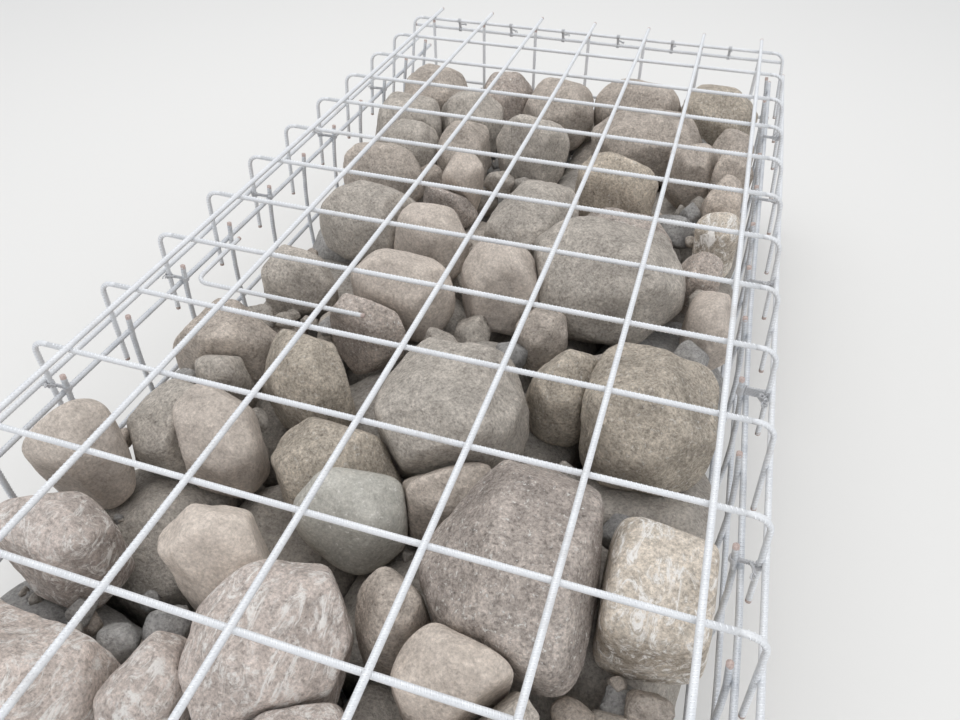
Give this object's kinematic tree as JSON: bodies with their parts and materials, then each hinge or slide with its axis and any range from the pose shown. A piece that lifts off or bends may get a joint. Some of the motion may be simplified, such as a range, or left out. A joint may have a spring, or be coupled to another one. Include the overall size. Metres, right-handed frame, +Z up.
{
  "type": "gabion wall",
  "caption": "Gabion wall basket: a cage of welded ribbed steel bars with a bent-down lid, a bent-up tray and end panels, filled with river boulders.",
  "frame": {"origin": "middle of the wall's footprint, on the ground", "axes": "+Y along the wall towards its far end, +X to the right, +Z up; the picture looks from the near end along +Y"},
  "size_m": [1.0666, 2.09, 0.5],
  "materials": {
    "lid_steel": "galvanised ribbed bar, weathered, rusty at cut ends",
    "tray_steel": "galvanised ribbed bar, weathered, rusty at cut ends",
    "panel_steel": "galvanised ribbed bar, weathered",
    "tie_wire": "soft binding wire, dull and rusty",
    "cross_tie_steel": "galvanised ribbed bar, weathered",
    "top_stone": null,
    "lower_stone": null
  },
  "bodies": {
    "root": {"lid_top_mat": "lid_steel", "lid_right_skirt": "lid_steel", "lid_left_skirt": "lid_steel", "tray_base_mat": "tray_steel", "tray_right_side": "tray_steel", "tray_left_side": "tray_steel", "near_end_panel": "panel_steel", "far_end_panel": "panel_steel", "near_end_ties": "tie_wire", "far_end_ties": "tie_wire", "right_side_ties": "tie_wire", "left_side_ties": "tie_wire", "cross_tie": "cross_tie_steel", "top_stones_1": "top_stone", "top_stones_2": "top_stone", "top_stones_3": "top_stone", "top_stones_4": "top_stone", "top_stones_5": "top_stone", "top_stones_6": "top_stone", "top_stones_7": "top_stone", "lower_stones_1": "lower_stone", "lower_stones_2": "lower_stone", "lower_stones_3": "lower_stone", "lower_stones_4": "lower_stone", "lower_stones_5": "lower_stone", "lower_stones_6": "lower_stone", "lower_stones_7": "lower_stone"}
  },
  "joints": []
}
